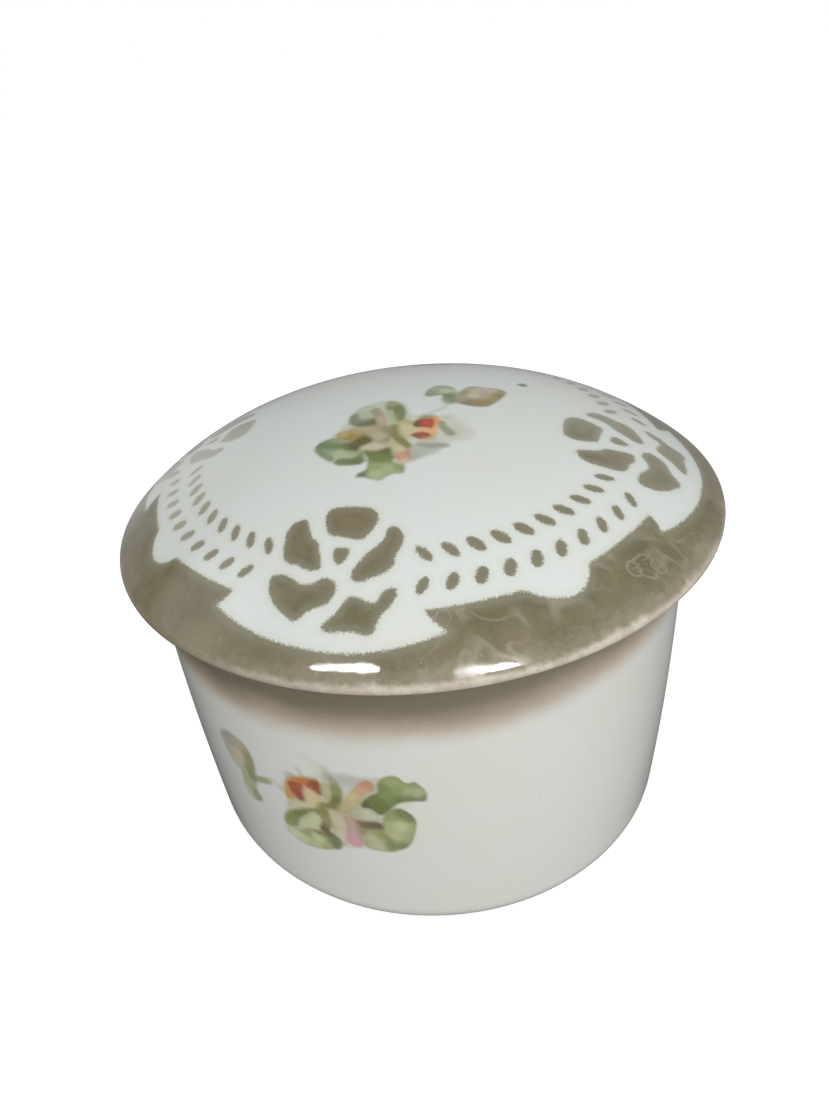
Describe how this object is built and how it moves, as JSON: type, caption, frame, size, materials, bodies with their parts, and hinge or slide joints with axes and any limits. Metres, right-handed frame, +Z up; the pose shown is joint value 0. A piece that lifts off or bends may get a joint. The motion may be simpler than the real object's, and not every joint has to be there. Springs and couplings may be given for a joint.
{
  "type": "trinket box",
  "caption": "Round porcelain trinket box: a deep bowl on a low foot ring and a domed lift-off lid with an overhanging edge and a locating flange.",
  "frame": {"origin": "centre of the circle that the foot ring stands on", "axes": "+Z up along the box's axis of turning, -Y towards the side with the painted spray"},
  "size_m": [0.1, 0.1, 0.0777],
  "materials": {
    "bowl_porcelain": "glossy clear glaze over white porcelain, sprayed taupe under the rim, floral transfer, bare foot ring",
    "lid_porcelain": "glossy clear glaze over white porcelain, taupe lustre stencil border, floral transfer, worn edge"
  },
  "bodies": {
    "bowl": {"bowl": "bowl_porcelain"},
    "lid": {"lid": "lid_porcelain"}
  },
  "joints": [
    {"name": "lid_lift", "type": "slide", "parent": "bowl", "child": "lid", "axis": [0, 0, 1], "range_m": [0, 0.08]}
  ]
}
